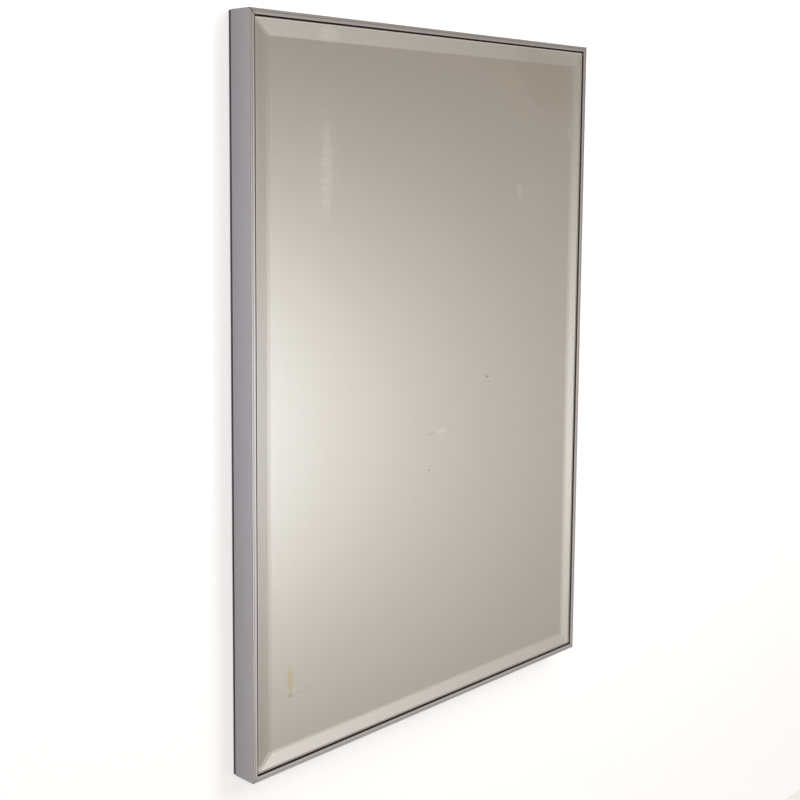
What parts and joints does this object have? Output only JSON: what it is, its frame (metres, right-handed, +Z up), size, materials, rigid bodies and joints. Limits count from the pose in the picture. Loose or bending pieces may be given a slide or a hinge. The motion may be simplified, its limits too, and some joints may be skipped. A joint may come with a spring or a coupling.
{
  "type": "floating frame",
  "caption": "Slim satin metal box frame with a shadow gap round a bevelled mirror, built on a carrier board with battens and D-ring hangers.",
  "frame": {"origin": "centre of the plane that rests on the wall, where the rear faces of the wall strips lie", "axes": "+X along the width to the right as seen from the front, +Z up, +Y into the wall, so the mirror faces -Y"},
  "size_m": [0.64, 0.038, 0.914],
  "materials": {
    "rail_aluminium": "satin anodised silver",
    "key_steel": "zinc-plated steel sheet",
    "set_screw_steel": "black oxide steel",
    "strip_rubber": "matt black rubber",
    "glass": "polished clear float glass with a ground and polished bevel",
    "silver": "silvered",
    "paint": "grey mirror backing paint",
    "tape": "white double-sided foam tape",
    "board": "black fibreboard",
    "batten_wood": "planed softwood",
    "screw_steel": "zinc-plated steel",
    "hanger_steel": "nickel-plated steel"
  },
  "bodies": {
    "frame": {"bottom_rail": "rail_aluminium", "bottom_wall_strip": "strip_rubber", "top_rail": "rail_aluminium", "top_wall_strip": "strip_rubber", "left_rail": "rail_aluminium", "left_wall_strip": "strip_rubber", "right_rail": "rail_aluminium", "right_wall_strip": "strip_rubber", "bottom_left_corner_key": "key_steel", "bottom_left_corner_shim": "key_steel", "bottom_right_corner_key": "key_steel", "bottom_right_corner_shim": "key_steel", "top_left_corner_key": "key_steel", "top_left_corner_shim": "key_steel", "top_right_corner_key": "key_steel", "top_right_corner_shim": "key_steel", "corner_key_screws": "set_screw_steel", "mirror_glass": "glass", "silver_coat": "silver", "backing_paint": "paint", "mounting_tape": "tape", "carrier_board": "board", "carrier_board_screws": "screw_steel", "hanging_batten": "batten_wood", "lower_batten": "batten_wood", "batten_screws": "screw_steel", "left_hanger_strap": "hanger_steel", "right_hanger_strap": "hanger_steel", "hanger_screws": "screw_steel"},
    "left_ring": {"left_d_ring": "hanger_steel"},
    "right_ring": {"right_d_ring": "hanger_steel"}
  },
  "joints": [
    {"name": "left_ring_hinge", "type": "hinge", "parent": "frame", "child": "left_ring", "pos_m": [-0.24, -0.008, 0.257], "axis": [-1, 0, 0], "range_deg": [0, 176]},
    {"name": "right_ring_hinge", "type": "hinge", "parent": "frame", "child": "right_ring", "pos_m": [0.24, -0.008, 0.257], "axis": [-1, 0, 0], "range_deg": [0, 176]}
  ]
}
